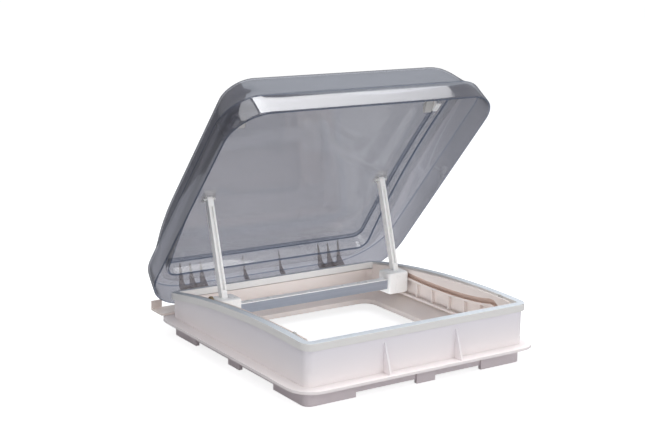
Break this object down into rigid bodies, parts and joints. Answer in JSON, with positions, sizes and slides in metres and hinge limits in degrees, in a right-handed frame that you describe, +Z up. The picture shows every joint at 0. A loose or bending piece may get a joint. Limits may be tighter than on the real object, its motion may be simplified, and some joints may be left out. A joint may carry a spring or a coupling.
{
  "type": "roof vent cover",
  "caption": "Square caravan rooflight with a tilting smoke acrylic lid, double glazing, folding struts and a lift bar that slides in curved side tracks.",
  "frame": {"origin": "bottom centre of the bounding box with the lid open: on the plane of the skirt tabs' lower ends, midway between the flange's front edge and the open lid's rear", "axes": "+Z up out of the roof, +Y from the lift bar side towards the hinges, +X to the right seen from the front"},
  "size_m": [0.484, 0.4788, 0.4351],
  "materials": {
    "white_shell": "semi-gloss white moulded plastic",
    "cream_liner": "satin cream moulded plastic",
    "seal_grey": "smooth pale grey rubber",
    "bright_white": "semi-gloss white plastic",
    "beige_plastic": "satin beige plastic",
    "smoke_acrylic": "polished smoke acrylic",
    "smoke_pane": "polished light smoke acrylic",
    "clear_acrylic": "clear moulded plastic",
    "satin_aluminium": "satin anodised",
    "steel": "plain turned"
  },
  "bodies": {
    "frame": {"base_frame": "white_shell", "rim_seal": "seal_grey", "inner_frame": "cream_liner", "guide_rail_left": "cream_liner", "guide_rail_right": "cream_liner", "lid_stop_left": "clear_acrylic", "lid_stop_right": "clear_acrylic", "hinge_bracket_left": "beige_plastic", "hinge_bracket_right": "beige_plastic", "hinge_pin_left": "steel", "hinge_pin_right": "steel"},
    "lid": {"outer_dome": "smoke_acrylic", "inner_pane": "smoke_pane", "rear_ribs_left": "smoke_acrylic", "rear_ribs_right": "smoke_acrylic", "rear_rib_single_left": "smoke_acrylic", "rear_rib_single_right": "smoke_acrylic", "strut_bracket_left": "clear_acrylic", "strut_bracket_right": "clear_acrylic", "strut_top_pin_left": "bright_white", "strut_top_pin_right": "bright_white", "corner_block_left": "bright_white", "corner_block_right": "bright_white", "corner_wing_left": "clear_acrylic", "corner_wing_right": "clear_acrylic"},
    "strut_left": {"strut_left": "bright_white"},
    "strut_right": {"strut_right": "bright_white"},
    "bar": {"lift_bar": "satin_aluminium", "end_cap_left": "bright_white", "end_cap_right": "bright_white", "foot_pin_left": "steel", "foot_pin_right": "steel", "slider_pin_left": "bright_white", "slider_pin_right": "bright_white"}
  },
  "joints": [
    {"name": "lid_hinge", "type": "hinge", "parent": "frame", "child": "lid", "pos_m": [0, 0.20257, 0.046], "axis": [1, 0, 0], "range_deg": [0, 49.64]},
    {"name": "strut_left_fold", "type": "hinge", "parent": "lid", "child": "strut_left", "pos_m": [-0.166, 0.11657, 0.231], "axis": [1, 0, 0], "range_deg": [-118, 0]},
    {"name": "strut_right_fold", "type": "hinge", "parent": "lid", "child": "strut_right", "pos_m": [0.166, 0.11657, 0.231], "axis": [1, 0, 0], "range_deg": [-118, 0]},
    {"name": "bar_level", "type": "hinge", "parent": "strut_left", "child": "bar", "pos_m": [0, 0.06957, 0.078], "axis": [1, 0, 0], "range_deg": [0, 68]}
  ],
  "couplings": [
    {"joint": "strut_left_fold", "follows": "lid_hinge", "ratio": -2.36},
    {"joint": "strut_right_fold", "follows": "lid_hinge", "ratio": -2.36},
    {"joint": "bar_level", "follows": "lid_hinge", "ratio": 1.36}
  ]
}
